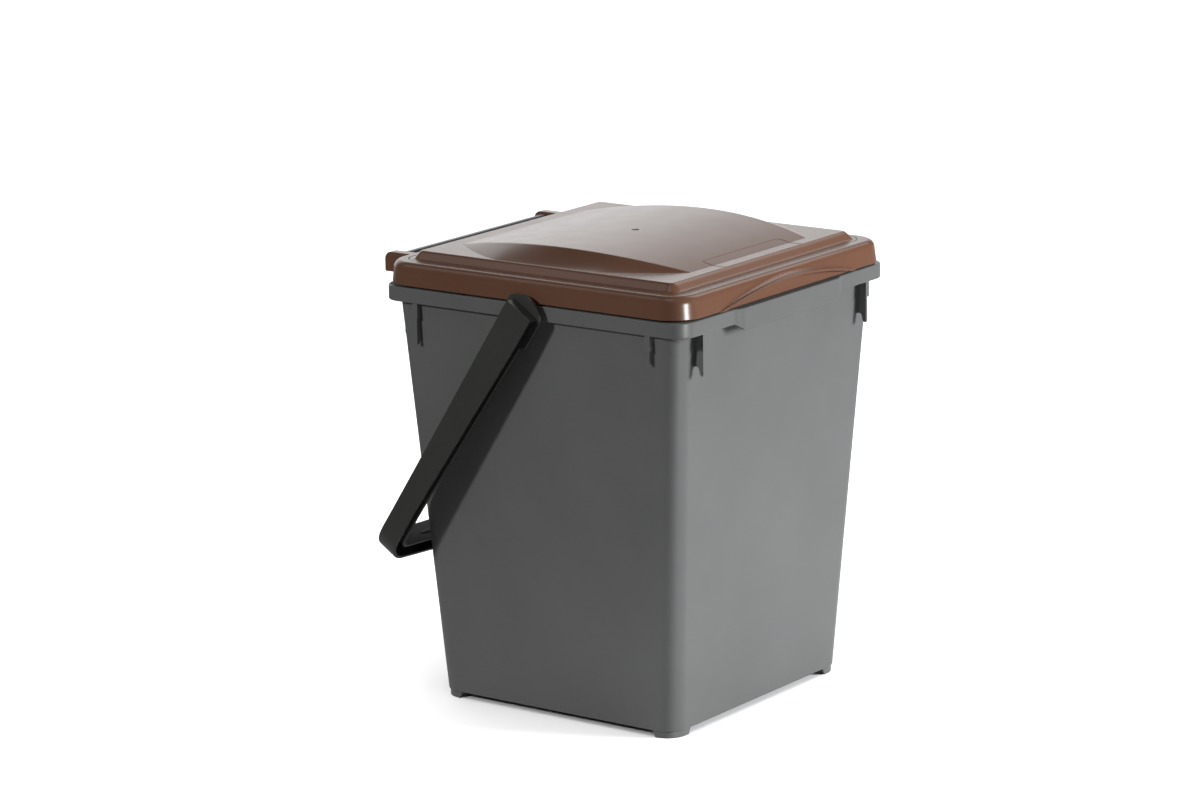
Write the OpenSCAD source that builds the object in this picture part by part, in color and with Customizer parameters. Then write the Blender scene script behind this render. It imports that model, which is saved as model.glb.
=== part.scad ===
// Kitchen compost caddy: a tapered square bucket, a hinged lid with a low dome, and a carrying bail.
// Millimetres, +Z up, front at -Y. The origin is the middle of the whole outline, on the floor.

/* [Bucket] */
// Height of the rim's top face above the floor
rim_height = 275; // [220:1:330]
// Outside width of the rim, left to right
rim_width = 233; // [200:1:270]
// Outside depth of the rim, front to back
rim_depth = 237; // [205:1:275]
// Outside corner radius of the rim
rim_corner = 14; // [12:0.5:20]
// Outside width of the tub at its foot
base_width = 192; // [160:0.5:215]
// Outside depth of the tub at its foot
base_depth = 186; // [160:0.5:215]
// Corner radius of the tub at its foot
base_corner = 13.5; // [10:0.5:20]
// Corner radius of the tub at its mouth
tub_corner = 13; // [10:0.5:20]
// Thickness of the tub's walls
tub_wall = 2.2; // [1.6:0.1:3]
// Thickness of the tub's floor
floor_thick = 2.5; // [2:0.1:4]
// Size of the small bevel around the tub's foot
base_round = 0.6; // [0.4:0.1:2]

/* [Feet] */
// Height of the corner feet
foot_height = 4.4; // [3:0.2:8]
// Length of a foot along the front or back of the base
foot_length_front = 19.3; // [12:0.1:25]
// Length of a foot along the side of the base
foot_length_side = 16.5; // [12:0.1:25]
// How much shorter a foot is on the floor than at its top
foot_slope = 2.2; // [0:0.1:4]
// Thickness of a foot's upright wall
foot_wall = 4; // [2.5:0.5:6]
// How far a foot is set in from the tub's edge
foot_inset = 0.7; // [0.7:0.1:3]

/* [Rim] */
// How far the rim reaches out beyond the tub wall at the sides
overhang_side = 4; // [3.6:0.1:6]
// How far the rim reaches out beyond the tub wall at the front and back
overhang_front = 6.6; // [3.6:0.1:8]
// Height of the rim's turned-down band
band_height = 9.6; // [8:0.2:14]
// Thickness of the rim's flange and band
rim_thick = 2; // [1.6:0.1:2.6]
// Width of the front apron between the middles of its curved ends
apron_width = 114; // [60:1:140]
// How far the apron stands out in front of the rim
apron_out = 2.8; // [1.5:0.1:3.4]
// How far the apron hangs below the rim's band
apron_drop = 4.3; // [2:0.1:8]
// Length of each curved end of the apron
apron_blend = 9; // [6:1:18]

/* [Stacking fins] */
// Distance of each fin on the front and back from the middle
fin_place_front = 92.3; // [70:0.1:94]
// Distance of each fin on the sides from the middle
fin_place_side = 90.8; // [70:0.1:94]
// Thickness of the block at the top of a fin
fin_block_thick = 3.8; // [3:0.1:5]
// Height of the block at the top of a fin
fin_block_height = 9.7; // [6:0.1:12]
// Thickness of the fin's blade
fin_thick = 1.9; // [1.4:0.1:2.6]
// Height of the fin below the rim, at its root
fin_height = 21.2; // [16:0.2:26]
// Length of the prong at the fin's outer edge
prong_height = 5.6; // [3:0.2:9]
// Height of the two plain fins near the front, which have no prong
plain_fin_height = 18.2; // [14:0.2:22]
// Width of the prong
prong_width = 3.4; // [2:0.1:4]
// Bevel at the prong's root and at its tip
prong_bevel = 1; // [0.4:0.1:1.2]
// How much narrower the prong is at its tip
prong_draft = 0.8; // [0.3:0.1:1]
// How far the block's outer edge lies inside the rim's outer face
fin_inset = 0.6; // [0.4:0.1:1.4]
// How far the blade's outer edge lies inside the block's
blade_inset = 0.7; // [0.2:0.1:1.2]

/* [Lid] */
// Gap between the lid's skirt and the rim
lid_gap = 1.25; // [0.8:0.05:2]
// Height of the lid's skirt, up to the ledge
skirt_height = 14.55; // [12:0.05:20]
// Corner radius of the skirt
lid_corner = 20.5; // [17:0.5:26]
// How much narrower the skirt is at the top, on each side
skirt_draft = 1.1; // [0.5:0.1:2]
// Radius of the rounded shoulder between skirt and ledge
shoulder = 5; // [3:0.5:6]
// Thickness of the lid
lid_thick = 2; // [1.6:0.1:2.6]
// Distance from the skirt to the raised panel at the front
panel_inset = 20.2; // [16:0.1:26]
// Distance from the skirt to the raised panel at the back and sides
panel_inset_back = 18.2; // [15:0.1:26]
// Height of the raised panel above the ledge
panel_rise = 5.2; // [3:0.1:9]
// Width of the sloped band around the raised panel
panel_slope = 4.75; // [2:0.05:6]
// Corner radius of the raised panel
panel_corner = 3.5; // [3:0.5:14]
// Height of the dome above the raised panel
dome_rise = 8.85; // [5:0.05:14]
// Flat land in front of the dome
dome_land = 9.65; // [6:0.05:20]
// Flat land behind the dome
dome_land_back = 10.9; // [6:0.1:20]
// Width of the dome at its front and back ends
dome_end_width = 130; // [100:1:150]
// Width of the dome's top at the middle
dome_top_width = 155; // [130:1:165]
// How much wider than its ends the scooped sides would run at the middle
dome_flare = 78; // [50:1:90]
// How much wider the dome's ends are at their foot, on each side
dome_toe = 1; // [0.5:0.1:3]
// Flat strip left between the scooped sides and the panel's edge
dome_edge = 1.4; // [1:0.1:4]

/* [Pull lip] */
// Width of the arched pull lip
lip_width = 155; // [100:1:160]
// Height of the lip's arch above the skirt's lower edge
lip_arch = 12.2; // [9:0.1:12.5]
// How far the lip stands out from the skirt
lip_out = 4.6; // [3:0.1:7]
// Angle at which the lip's upper side falls outwards
lip_angle = 26.5; // [10:0.5:38]
// Thickness of the lip at its outer edge
lip_edge = 1.3; // [1:0.1:2.5]
// Thickness of the lip where it runs out at its ends
lip_tip = 0.05; // [0.05:0.05:0.3]
// Length by which the arch would run on past the lip's ends
lip_end = 1; // [0.5:0.1:3]

/* [Seat ring] */
// Distance of the locating wall from the tub's inner face
seat_clear = 1; // [0.6:0.1:2]
// Depth that the locating wall reaches into the tub
seat_depth = 4; // [2:0.5:8]
// Thickness of the seat ring's wall and flange
seat_thick = 2; // [1.4:0.1:2.4]
// Gap between the seat flange and the rim it rests on
seat_gap = 0.3; // [0.2:0.05:0.4]
// Gap between the seat flange and the skirt around it
seat_reach = 1.2; // [1:0.1:3]

/* [Lid hinge] */
// Diameter of the hinge bar
bar_diameter = 9; // [7:0.5:10]
// Distance of the hinge bar's axis behind the rim
hinge_out = 13.7; // [13:0.1:20]
// Thickness of the plastic around the bar in a hook
hook_wall = 3; // [2.5:0.1:4.5]
// Width of each hook along the bar
hook_width = 7.5; // [6:0.1:12]
// Thickness of the hook's closed outer side
hook_cap = 2; // [1.5:0.1:3]
// Distance between the outer sides of the two hooks
hook_span = 169; // [140:1:180]
// Gap between each end of the bar and the closed side of its hook
bar_end_gap = 0.5; // [0.3:0.1:1]
// How far a hook reaches below the bar's axis
hook_drop = 5.6; // [5.5:0.1:7.5]
// Radius of a hook's upper corner at the back
hook_corner = 5; // [2:0.5:7]
// How far the hooks' tops lie below the lid's ledge
hook_low = 1.8; // [0:0.1:3]
// Radial clearance of the bar in its hooks and of the studs in their bosses
pivot_clear = 0.05; // [0.03:0.01:0.1]
// Distance between the brackets that carry the bar
bracket_pitch = 50; // [40:1:60]
// Thickness of a bracket
bracket_thick = 3; // [2:0.5:5]
// Height of a bracket's foot on the tub wall
bracket_foot = 18; // [10:1:25]
// Height of the bracket's top edge below the bar's axis
bracket_low = 1; // [0.5:0.1:2]
// Thickness of the bracket under the bar
bracket_under = 2; // [1:0.1:4]

/* [Handle] */
// Distance of the handle's pivot behind the middle of the bucket
pivot_back = 2.5; // [-5:0.5:8]
// Distance of the pivot below the rim's top
pivot_drop = 9; // [8:0.5:14]
// Diameter of the pivot studs
stud_diameter = 8; // [6:0.5:10]
// Gap between a stud's end and the tub wall
stud_gap = 0.5; // [0.3:0.1:1]
// Diameter of the pivot bosses on the bucket
boss_diameter = 16.5; // [14:0.5:17]
// How far a boss stands out from the rim
boss_out = 4; // [2.5:0.5:6]
// Gap between a boss and the handle
boss_gap = 0.5; // [0.3:0.1:1]
// Angle between the hanging handle and straight down
hang_angle = 33.5; // [32:0.5:45]
// Depth of the handle's channel section, arms
channel_depth = 9.8; // [8:0.1:14]
// Thickness of the handle's walls
handle_wall = 2.2; // [1.8:0.1:2.6]
// Length from the pivot to the inner face of the grip, at the arms
grip_reach = 189; // [185:1:230]
// Depth of the grip's section at its ends
grip_depth = 12.4; // [10:0.1:16]
// How much the grip's inner face bows out at the middle
grip_bow_inner = 4; // [2:0.1:8]
// How much the grip's outer face bows out at the middle
grip_bow_outer = 6.2; // [2:0.1:10]
// Outer corner radius of the bail
bail_corner = 20; // [17:1:26]
// Inner corner radius of the bail
inner_corner = 7; // [4:0.5:12]
// Reach of the arm's front edge from the pivot line, at the pivot
arm_front = 10.6; // [9:0.1:13]
// Reach of the arm's back edge from the pivot line, at the pivot
arm_back = 10; // [9:0.1:13]
// Reach of the grip's front edge from the pivot line
grip_front = 6.1; // [5:0.1:9]
// Reach of the grip's back edge from the pivot line
grip_back = 8.8; // [6:0.1:9]
// Length from the pivot at which the arm has narrowed to the grip's width
taper_length = 158; // [120:1:170]
// How far the arm's outer wall reaches beyond the pivot
arm_over = 10; // [8:0.5:14]
// Radius of the pivot head's rounded end
head_radius = 17; // [15:0.5:20]
// Half the width of the pivot head
head_half = 13.9; // [12:0.1:16]
// Length of the pivot head from the pivot towards the grip
head_length = 16; // [13:0.5:20]
// Rounding of the pivot head's lower corners
head_round = 6; // [3:0.5:8]
// Width of the rib along the grip
rib_width = 2; // [1:0.1:4]
// Height of the rib along the grip
rib_height = 0.7; // [0.4:0.1:1.2]
// Length of the rib along the grip
rib_length = 190; // [120:1:220]

/* [Hidden] */
$fn = 96;
corner_steps = 8;
over = 1;
bucket_grey = [0.37, 0.38, 0.37];
lid_brown = [0.37, 0.24, 0.19];
handle_grey = [0.20, 0.20, 0.19];

// Tub: half sizes of the outer wall as straight lines over the height
tub_top_half = [rim_width / 2 - overhang_side, rim_depth / 2 - overhang_front];
tub_base_half = [base_width / 2, base_depth / 2];
function up(z) = (z - foot_height) / (rim_height - foot_height);
function tub_half(z) = tub_base_half + (tub_top_half - tub_base_half) * up(z);
function tub_radius(z) = base_corner + (tub_corner - base_corner) * up(z);
wall_top = rim_height - rim_thick;
band_bottom = rim_height - band_height;
mouth_half = tub_half(rim_height) - [tub_wall, tub_wall];

// Lid: heights and half sizes
lid_bottom = rim_height + lid_gap;
ledge_z = lid_bottom + skirt_height;
panel_z = ledge_z + panel_rise;
lid_half = [rim_width / 2, rim_depth / 2];
panel_half = [lid_half[0] - panel_inset_back, lid_half[1] - (panel_inset + panel_inset_back) / 2];
panel_back = (panel_inset - panel_inset_back) / 2;
dome_half = panel_half[1] - (dome_land + dome_land_back) / 2;
dome_back = panel_back + (dome_land - dome_land_back) / 2;
dome_base = dome_end_width / 2 + dome_toe;
dome_rows = 24;
scoop_steps = 5;
scoop_curve = 1.15;
lip_steps = 24;

// Hinge axis: the hooks' tops lie just below the lid's ledge
bar_r = bar_diameter / 2;
hook_r = bar_r + hook_wall;
hinge_y = rim_depth / 2 + hinge_out;
hinge_z = ledge_z - hook_low - hook_r;
bar_half = hook_span / 2 - hook_cap - bar_end_gap;

// Handle: the bail is drawn hanging straight down from its pivot at the origin
pivot_z = rim_height - pivot_drop;
stud_r = stud_diameter / 2;
boss_r = boss_diameter / 2;
boss_x = rim_width / 2 + boss_out;
arm_in = boss_x + boss_gap;
arm_x = arm_in + channel_depth;
head_x = arm_in + handle_wall;
bow_steps = 20;

// The whole outline reaches from the lip to the hooks, and the origin is halfway
front_reach = rim_depth / 2 + lip_out;
back_reach = hinge_y + hook_r;
frame_y = (back_reach - front_reach) / 2;
module placed() translate([0, -frame_y, 0]) children();

// Points of a rounded rectangle with half sizes h and corner radius r
function rounded(h, r) = [for (q = [0 : 3]) for (k = [0 : corner_steps])
    let (a = 90 * (q + k / corner_steps), sx = (q == 0 || q == 3) ? 1 : -1, sy = q < 2 ? 1 : -1)
    [sx * (h[0] - r) + r * cos(a), sy * (h[1] - r) + r * sin(a)]];
function ring(h, r, z, y = 0) = [for (p = rounded(h, r)) [p[0], p[1] + y, z]];
function shrink(h, d) = [h[0] - d, h[1] - d];

// Closed solid through a stack of rings that have the same number of points
module loft(rings) {
    n = len(rings[0]);
    m = len(rings);
    polyhedron(points = [for (r = rings) each r],
        faces = concat([[for (i = [0 : n - 1]) i]], [[for (i = [0 : n - 1]) (m - 1) * n + n - 1 - i]],
            [for (k = [0 : m - 2]) for (i = [0 : n - 1]) let (j = (i + 1) % n, a = k * n, b = a + n)
                each [[a + i, b + i, b + j], [a + i, b + j, a + j]]]));
}

// Straight prism with rounded corners
module rounded_block(h, r, z0, z1) translate([0, 0, z0]) linear_extrude(z1 - z0) polygon(rounded(h, r));

module bucket_tub() color(bucket_grey) placed() difference() {
    side_bottom = foot_height + base_round;
    loft([ring(shrink(tub_half(foot_height), base_round), base_corner - base_round / 2, foot_height),
        ring(tub_half(side_bottom), tub_radius(side_bottom), side_bottom),
        ring(tub_half(wall_top), tub_radius(wall_top), wall_top)]);
    inside(foot_height + floor_thick, rim_height);
}

// Space inside the tub between two heights
module inside(z0, z1) loft([ring(shrink(tub_half(z0), tub_wall), tub_radius(z0) - tub_wall, z0),
    ring(shrink(tub_half(z1), tub_wall), tub_radius(z1) - tub_wall, z1)]);

// Side view of one foot: upright at the corner, sloped at its free end
function foot_side(half, length) = [[half - length, foot_height], [half + over, foot_height],
    [half + over, 0], [half - length + foot_slope, 0]];
module base_feet() color(bucket_grey) placed() {
    half = shrink(tub_base_half, foot_inset);
    radius = base_corner - foot_inset / 2;
    for (sx = [-1, 1]) for (sy = [-1, 1]) intersection() {
        difference() {
            rounded_block(half, radius, 0, foot_height);
            rounded_block(shrink(half, foot_wall), radius - foot_wall, -over, foot_height + over);
        }
        facing(sx, 0) rotate([90, 0, 0]) translate([0, 0, -rim_depth]) linear_extrude(2 * rim_depth)
            polygon(foot_side(half[0], foot_length_front));
        facing(sy, 90) rotate([90, 0, 0]) translate([0, 0, -rim_width]) linear_extrude(2 * rim_width)
            polygon(foot_side(half[1], foot_length_side));
    }
}
// Turns a shape drawn towards +X to the side given by a sign and a quarter turn
module facing(sign, turn) rotate([0, 0, turn + (sign < 0 ? 180 : 0)]) children();

module rim_collar() color(bucket_grey) placed() difference() {
    rounded_block(lid_half, rim_corner, band_bottom, rim_height);
    rounded_block(shrink(lid_half, rim_thick), rim_corner - rim_thick, band_bottom - over, wall_top);
    rounded_block(mouth_half, tub_corner - tub_wall, band_bottom, rim_height + over);
    for (s = [-1, 1]) boss_shape(s);
}

// Share of the apron's full size at x: 1 in the middle, falling to 0 in an S at each end
function apron_share(x) = let (t = min(1, max(0, (apron_width / 2 + apron_blend / 2 - abs(x)) / apron_blend)))
    t * t * (3 - 2 * t);
module rim_apron() color(bucket_grey) placed() {
    reach = apron_width / 2 + apron_blend / 2;
    ends = [for (i = [0 : 10]) reach - apron_blend * i / 10];
    xs = concat([for (x = ends) -x], [for (i = [10 : -1 : 0]) ends[i]]);
    front = -rim_depth / 2;
    translate([0, 0, band_bottom]) linear_extrude(band_height)
        polygon([for (x = xs) [x, front - apron_out * apron_share(x)]]);
    intersection() {
        translate([0, 0, band_bottom - apron_drop]) linear_extrude(apron_drop) polygon(concat(
            [for (x = xs) [x, front - apron_out * apron_share(x)]],
            [for (x = reversed(xs)) [x, front - apron_out * apron_share(x) + rim_thick]]));
        rotate([90, 0, 0]) linear_extrude(rim_depth)
            polygon([for (x = xs) [x, band_bottom - apron_drop * apron_share(x)]]);
    }
}

// One fin, drawn outwards along +X from a wall that leans from face0 in to face1; it may have a prong
module fin(face0, face1, edge, prong) {
    root = band_bottom - (prong ? fin_height : plain_fin_height);
    tip = root - prong_height;
    function face(z) = face0 + (face1 - face0) * (band_bottom - z) / (fin_height + prong_height);
    block = band_bottom - fin_block_height;
    rim_edge = edge + blade_inset;
    fin_plate(fin_block_thick) polygon([[face(block), block], [rim_edge, block],
        [rim_edge, band_bottom], [face(band_bottom), band_bottom]]);
    fin_plate(fin_thick) polygon(concat([[face(block), block], [face(root), root]],
        prong ? [[edge - prong_width - prong_bevel, root], [edge - prong_width, root - prong_bevel],
            [edge - prong_width + prong_draft, tip + prong_bevel], [edge - prong_width / 2, tip],
            [edge - prong_bevel / 2, tip], [edge, tip + prong_bevel]] : [[edge, root]], [[edge, block]]));
}
module fin_plate(thick) rotate([90, 0, 0]) translate([0, 0, -thick / 2]) linear_extrude(thick) children();
module stacking_fins() color(bucket_grey) placed() {
    low = band_bottom - fin_height - prong_height;
    for (s = [-1, 1]) for (side = [-1, 1]) {
        translate([0, s * fin_place_side, 0]) facing(side, 0)
            fin(tub_half(band_bottom)[0], tub_half(low)[0], rim_width / 2 - fin_inset - blade_inset, s > 0);
        translate([s * fin_place_front, 0, 0]) facing(side, 90)
            fin(tub_half(band_bottom)[1], tub_half(low)[1], rim_depth / 2 - fin_inset - blade_inset, true);
    }
}

// Line along X through the hinge axis
module along_bar(r, half) translate([0, hinge_y, hinge_z]) rotate([0, 90, 0])
    cylinder(r = r, h = 2 * half, center = true);
module hinge_bar() color(bucket_grey) placed() along_bar(bar_r, bar_half);
module hinge_brackets() color(bucket_grey) placed() {
    foot_z = band_bottom - bracket_foot;
    rear = rim_depth / 2;
    profile = [[rear, wall_top], [rear, band_bottom], [tub_half(band_bottom)[1], band_bottom],
        [tub_half(foot_z)[1], foot_z], [hinge_y + bar_r / 2, hinge_z - bar_r - bracket_under],
        [hinge_y + bar_r * 0.7, hinge_z - bracket_low], [hinge_y - bar_r * 0.8, hinge_z - bracket_low]];
    for (i = [-1 : 1]) difference() {
        translate([i * bracket_pitch - bracket_thick / 2, 0, 0]) rotate([90, 0, 90])
            linear_extrude(bracket_thick) polygon(profile);
        along_bar(bar_r, bar_half);
    }
}

// Outline of a pivot boss, from the tub wall out to its face
module boss_shape(s) translate([s * boss_x, pivot_back, pivot_z]) rotate([0, -s * 90, 0])
    cylinder(r = boss_r, h = boss_x - tub_half(pivot_z)[0] + 2 * over);
module pivot_boss(s) color(bucket_grey) placed() {
    lean = atan((tub_top_half[0] - tub_base_half[0]) / (rim_height - foot_height));
    difference() {
        boss_shape(s);
        translate([s * boss_x, pivot_back, pivot_z]) rotate([0, 90, 0])
            cylinder(r = stud_r + pivot_clear, h = 3 * boss_diameter, center = true);
        translate([s * tub_half(pivot_z)[0], pivot_back, pivot_z]) rotate([0, s * lean, 0])
            translate([-s * boss_diameter, 0, 0]) cube(2 * boss_diameter, center = true);
    }
}
module pivot_boss_left() pivot_boss(-1);
module pivot_boss_right() pivot_boss(1);

// Lid shell: outer surface, or the same surface moved inwards by t
module lid_form(t) {
    drafted = shrink(lid_half, skirt_draft + t);
    arc = [for (i = [0 : 4]) let (a = 90 * i / 4) [(shoulder - t) * (1 - cos(a)), (shoulder - t) * sin(a)]];
    shoulder_z = ledge_z - shoulder;
    base = t > 0 ? [ring(shrink(lid_half, t), lid_corner - t, lid_bottom - over)] : [];
    loft(concat(base, [ring(shrink(lid_half, t), lid_corner - t, lid_bottom)],
        [for (p = arc) ring(shrink(drafted, p[0]), lid_corner - skirt_draft - t - p[0], shoulder_z + p[1])],
        [ring([panel_half[0] + panel_slope - t * 0.6, panel_half[1] + panel_slope - t * 0.6],
            panel_corner + panel_slope - t * 0.6, ledge_z - t, panel_back),
        ring(shrink(panel_half, t * 0.6), panel_corner - t * 0.6, panel_z - t, panel_back)]));
}

// Half widths of the dome's base and top, and its height, at t from -1 (front) to 1 (back)
function base_half(t) = min(panel_half[0] - dome_edge, dome_base + dome_flare / 2 * (1 - t * t));
function top_half(t) = dome_end_width / 2 + (dome_top_width - dome_end_width) / 2 * (1 - t * t);
dome_radius = (dome_half * dome_half + dome_rise * dome_rise) / (2 * dome_rise);
function dome_height(t) = sqrt(pow(dome_radius, 2) - pow(dome_half * t, 2)) - dome_radius + dome_rise;
function row(j) = -1 + 2 * j / dome_rows;
dome_outline = concat([for (j = [0 : dome_rows]) [base_half(row(j)), dome_back + dome_half * row(j)]],
    [for (j = [dome_rows : -1 : 0]) [-base_half(row(j)), dome_back + dome_half * row(j)]]);

module lid_panel() color(lid_brown) placed() difference() {
    lid_form(0);
    lid_form(lid_thick);
    translate([0, 0, ledge_z]) linear_extrude(2 * panel_rise + over) polygon(dome_outline);
}

// One row of points across the dome: scooped side, flat top, scooped side; lowered by drop
function across(j, drop) = let (t = row(j), h = dome_height(t), b = base_half(t), c = top_half(t),
    y = dome_back + dome_half * t, side = [for (i = [0 : scoop_steps]) let (u = i / scoop_steps)
        [c + (b - c) * u, y, panel_z - drop + h * pow(1 - u, scoop_curve)]])
    concat([for (p = reversed(side)) [-p[0], p[1], p[2]]], side);
module lid_dome() color(lid_brown) placed() {
    n = 2 * (scoop_steps + 1);
    rows = dome_rows + 1;
    points = [for (drop = [0, lid_thick]) for (j = [0 : dome_rows]) each across(j, drop)];
    s = rows * n;
    polyhedron(points, faces = concat(
        [for (j = [0 : dome_rows - 1]) for (i = [0 : n - 2]) let (a = j * n + i)
            each [[a, a + n, a + n + 1], [a, a + n + 1, a + 1],
                [s + a, s + a + n + 1, s + a + n], [s + a, s + a + 1, s + a + n + 1]]],
        [for (j = [0 : dome_rows - 1]) let (a = j * n, b = j * n + n - 1)
            each [[a, s + a, s + a + n], [a, s + a + n, a + n],
                [b, b + n, s + b + n], [b, s + b + n, s + b]]],
        [for (i = [0 : n - 2]) let (a = i, b = dome_rows * n + i)
            each [[a, a + 1, s + a + 1], [a, s + a + 1, s + a],
                [b, s + b, s + b + 1], [b, s + b + 1, b + 1]]]));
}

// Arch of the pull lip: 1 in the middle, falling to 0 at its ends
function lip_rise(x) = 1 - pow(2 * x / (lip_width + 2 * lip_end), 2);
// Section of the lip at x: sloped upper side, thin outer edge, flat underside
function lip_section(x) = let (out = lip_out * pow(lip_rise(x), 0.6),
    top = lid_bottom + lip_arch * lip_rise(x), fall = tan(lip_angle),
    front = -rim_depth / 2, root = front + shoulder / 2 + skirt_draft,
    low = max(lid_bottom, top - fall * out - lip_edge))
    [[x, root, low], [x, root, top + fall * (root - front)],
        [x, front - out, max(lid_bottom + lip_tip, top - fall * out)], [x, front - out, low]];
module lid_pull_lip() color(lid_brown) placed() difference() {
    loft([for (i = [0 : lip_steps]) lip_section(lip_width * (i / lip_steps - 0.5))]);
    lid_form(0);
}

module lid_seat_ring() color(lid_brown) placed() intersection() {
    wall_out = shrink(mouth_half, seat_clear);
    wall_radius = tub_corner - tub_wall - seat_clear;
    flange_out = shrink(lid_half, lid_thick + seat_reach);
    flange_radius = lid_corner - lid_thick - seat_reach;
    flange_z = rim_height + seat_gap;
    wall_low = rim_height - seat_depth;
    difference() {
        union() {
            rounded_block(wall_out, wall_radius, wall_low, ledge_z);
            rounded_block(flange_out, flange_radius, flange_z, flange_z + seat_thick);
        }
        rounded_block(shrink(wall_out, seat_thick), wall_radius - seat_thick, wall_low - over, panel_z);
    }
    union() {
        lid_form(lid_thick);
        rounded_block(shrink(lid_half, lid_thick), lid_corner - lid_thick, wall_low - over, lid_bottom);
    }
}

module hinge_hook(s) color(lid_brown) placed() difference() {
    front = rim_depth / 2 - shoulder - skirt_draft;
    bottom = hinge_z - hook_drop;
    translate([s * (hook_span - hook_width) / 2, 0, 0]) rotate([90, 0, 90])
        translate([0, 0, -hook_width / 2]) linear_extrude(hook_width) union() {
            translate([front, hinge_z]) square([hinge_y - front, hook_r]);
            hull() {
                translate([hinge_y + hook_r - hook_corner, hinge_z + hook_r - hook_corner])
                    circle(r = hook_corner);
                translate([hinge_y - hook_r, bottom]) square([2 * hook_r, hook_drop]);
                translate([hinge_y - hook_r, hinge_z]) square([hook_r, hook_r]);
            }
        }
    // Seat of the bar, open below so that the hook clips over it
    translate([s * (hook_span / 2 - hook_cap - hook_width), hinge_y, hinge_z]) rotate([0, 90, 0])
        cylinder(r = bar_r + pivot_clear, h = 2 * hook_width, center = true);
    translate([s * (hook_span / 2 - hook_cap - hook_width), hinge_y, hinge_z - hook_r])
        cube([2 * hook_width, 1.8 * bar_r, 2 * hook_r], center = true);
    lid_form(0);
}
module hinge_hook_left() hinge_hook(-1);
module hinge_hook_right() hinge_hook(1);

// Puts the straight-hanging bail on its pivot at its resting angle
module hung() placed() translate([0, pivot_back, pivot_z]) rotate([hang_angle, 0, 0]) children();

// Inner outline of the bail moved out by t: a U with a bowed crossbar
function bow(x, reach, rise) = -reach - rise * (1 - pow(x / arm_in, 2));
function bow_points(half, reach, rise) = [for (i = [0 : bow_steps])
    let (x = half * (2 * i / bow_steps - 1)) [x, bow(x, reach, rise)]];
// Rounded corner of the bail, without its end on the crossbar
function corner(x, z, r, side) = [for (i = [0 : corner_steps - 1])
    let (k = side < 0 ? i : corner_steps - 1 - i, a = 90 * k / corner_steps)
    [side * (x - r + r * cos(a)), z + r - r * sin(a)]];
function bail(x, reach, rise, r) = concat([[-x, arm_over]], corner(x, bow(x - r, reach, rise), r, -1),
    bow_points(x - r, reach, rise), corner(x, bow(x - r, reach, rise), r, 1), [[x, arm_over]]);
function outline(t, r) = bail(arm_in + t, grip_reach + t, grip_bow_inner, r);
function outer(t) = bail(arm_x - t, grip_reach + grip_depth - t, grip_bow_outer, bail_corner - t);

// Flat U drawn in X and Z, given a thickness along Y between two offsets
module plate(y0, y1) translate([0, y1, 0]) rotate([90, 0, 0]) linear_extrude(y1 - y0) children();
function reversed(list) = [for (i = [len(list) - 1 : -1 : 0]) list[i]];
deep = max(arm_front, arm_back) + over;

// Channel section of the bail: outer wall, inner wall and back web, open to the front
module channel() difference() {
    bail_moved_in(0);
    bail_moved_in(handle_wall);
}
module bail_moved_in(t) intersection() {
    plate(-deep, deep) polygon(concat(outer(t), reversed(outline(t, inner_corner + t))));
    envelope(t);
}

// Side view of the bail: tapers from the pivot to the grip; its back is moved in by t
module envelope(t) {
    low = -(grip_reach + grip_depth + grip_bow_outer + over);
    ahead = t > 0 ? deep : 0;
    rotate([90, 0, 90]) translate([0, 0, -arm_x - over]) linear_extrude(2 * (arm_x + over)) polygon([
        [-arm_front - ahead, arm_over - t], [-arm_front - ahead, -arm_front],
        [-grip_front - ahead, -taper_length], [-grip_front - ahead, low],
        [grip_back - t, low], [grip_back - t, -taper_length],
        [arm_back - t, -arm_back], [arm_back - t, arm_over - t]]);
}

split_z = -(grip_reach - bail_corner);
module handle_arm(s) color(handle_grey) hung() difference() {
    intersection() {
        channel();
        translate([s * (arm_in + channel_depth / 2), 0, split_z + grip_reach / 2])
            cube([2 * channel_depth, 4 * deep, grip_reach], center = true);
    }
    // The pivot head takes the place of the inner wall here
    translate([s * (arm_in + handle_wall / 2 - over / 2), 0, 2 * head_radius - head_length])
        cube([handle_wall + over, 4 * deep, 4 * head_radius], center = true);
}
module handle_arm_left() handle_arm(-1);
module handle_arm_right() handle_arm(1);
module handle_grip() color(handle_grey) hung() intersection() {
    channel();
    translate([0, 0, split_z - grip_reach / 2]) cube([2 * arm_x + over, 4 * deep, grip_reach], center = true);
}
module grip_rib() color(handle_grey) hung() plate(-rib_width / 2, rib_width / 2) intersection() {
    face = bow_points(arm_in - inner_corner, grip_reach, grip_bow_inner);
    polygon(concat(face, [for (p = reversed(face)) p + [0, rib_height]]));
    translate([-rib_length / 2, -2 * grip_reach]) square([rib_length, 2 * grip_reach]);
}

module pivot_head(s) color(handle_grey) hung() translate([s * (arm_in + handle_wall / 2), 0, 0])
    rotate([90, 0, 90]) translate([0, 0, -handle_wall / 2]) linear_extrude(handle_wall) {
        intersection() {
            circle(r = head_radius);
            translate([-head_half, 0]) square([2 * head_half, head_radius]);
        }
        translate([-head_half, head_round - head_length]) square([2 * head_half, head_length - head_round]);
        translate([head_round - head_half, -head_length])
            square([2 * (head_half - head_round), head_length]);
        for (e = [-1, 1]) translate([e * (head_half - head_round), head_round - head_length])
            circle(r = head_round);
    }
module pivot_head_left() pivot_head(-1);
module pivot_head_right() pivot_head(1);
module pivot_stud(s) color(handle_grey) hung() {
    tip = tub_half(pivot_z + boss_r)[0] + stud_gap;
    translate([s * (tip + arm_in) / 2, 0, 0]) rotate([0, 90, 0])
        cylinder(r = stud_r, h = arm_in - tip, center = true);
}
module pivot_stud_left() pivot_stud(-1);
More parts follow.
